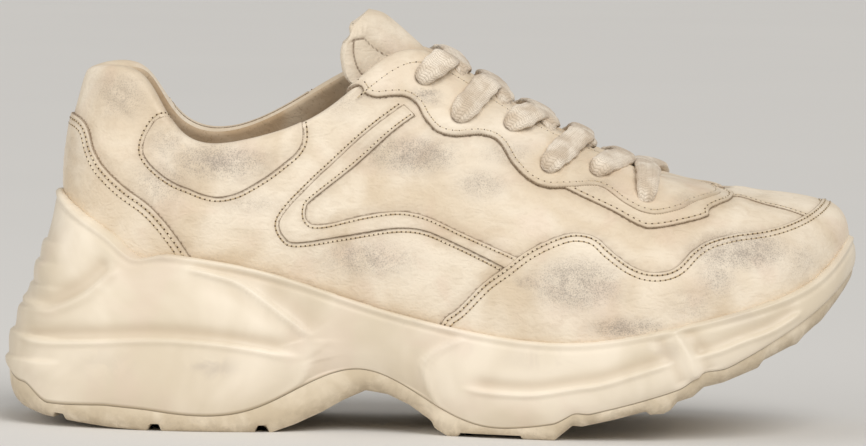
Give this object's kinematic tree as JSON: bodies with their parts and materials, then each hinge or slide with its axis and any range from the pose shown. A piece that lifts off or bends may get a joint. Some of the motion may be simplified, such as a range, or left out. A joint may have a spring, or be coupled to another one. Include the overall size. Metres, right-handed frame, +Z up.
{
  "type": "worn out sneaker",
  "caption": "Right low-top sneaker with a hollow laced leather upper on a thick moulded sole, worn and soiled.",
  "frame": {"origin": "centre of the shoe's bounding box on the floor it stands on", "axes": "+X towards the toe, +Y towards the inner side of the foot, +Z up"},
  "size_m": [0.313, 0.1182, 0.1528],
  "materials": {
    "outsole_rubber": "matte moulded rubber, soiled",
    "midsole_foam": "satin moulded foam rubber with scuffs",
    "upper_leather": "fine-grained leather with grey scuffs and dirt in its seams",
    "insole_fabric": "woven lining cloth",
    "lace_fabric": "flat woven cotton"
  },
  "bodies": {
    "root": {"outsole": "outsole_rubber", "midsole": "midsole_foam", "upper": "upper_leather", "insole": "insole_fabric", "tongue": "upper_leather", "lace_cross_1": "lace_fabric", "lace_cross_2": "lace_fabric", "lace_cross_3": "lace_fabric", "lace_cross_4": "lace_fabric", "lace_cross_5": "lace_fabric", "lace_bar": "lace_fabric"}
  },
  "joints": []
}
